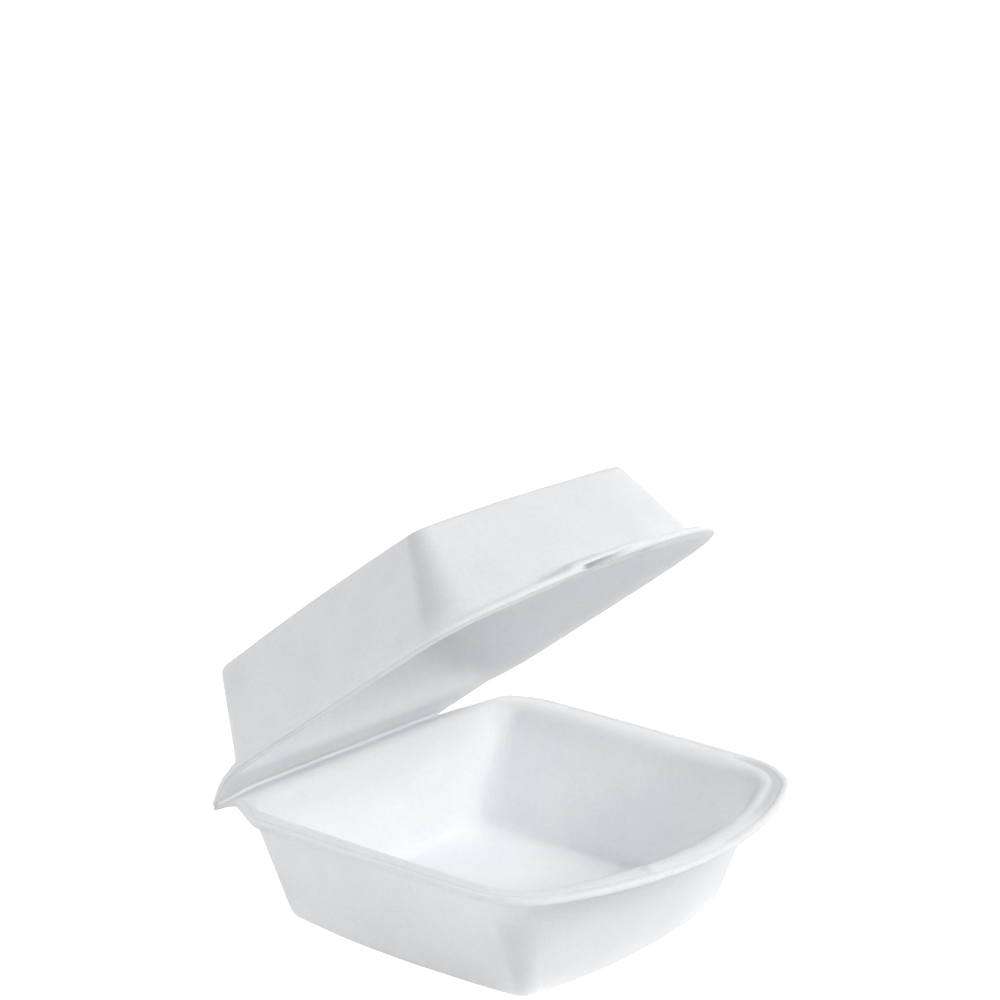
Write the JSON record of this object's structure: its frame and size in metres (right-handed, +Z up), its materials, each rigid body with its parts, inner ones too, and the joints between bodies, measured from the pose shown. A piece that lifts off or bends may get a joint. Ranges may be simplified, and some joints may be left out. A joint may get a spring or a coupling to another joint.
{
  "type": "foam clamshell container",
  "caption": "Hinged foam clamshell food container with a flared square tray, a domed lid standing open and a snap closure on its front flange.",
  "frame": {"origin": "centre of the base's flat underside", "axes": "+Z up, -Y towards the front closure, X along the hinge"},
  "size_m": [0.15, 0.1591, 0.1394],
  "materials": {
    "foam": "matte expanded polystyrene foam"
  },
  "bodies": {
    "base": {"base": "foam"},
    "lid": {"lid": "foam"}
  },
  "joints": [
    {"name": "lid_hinge", "type": "hinge", "parent": "base", "child": "lid", "pos_m": [0, 0.0672, 0.0381], "axis": [-1, 0, 0], "range_deg": [-37.2, 142.8]}
  ]
}
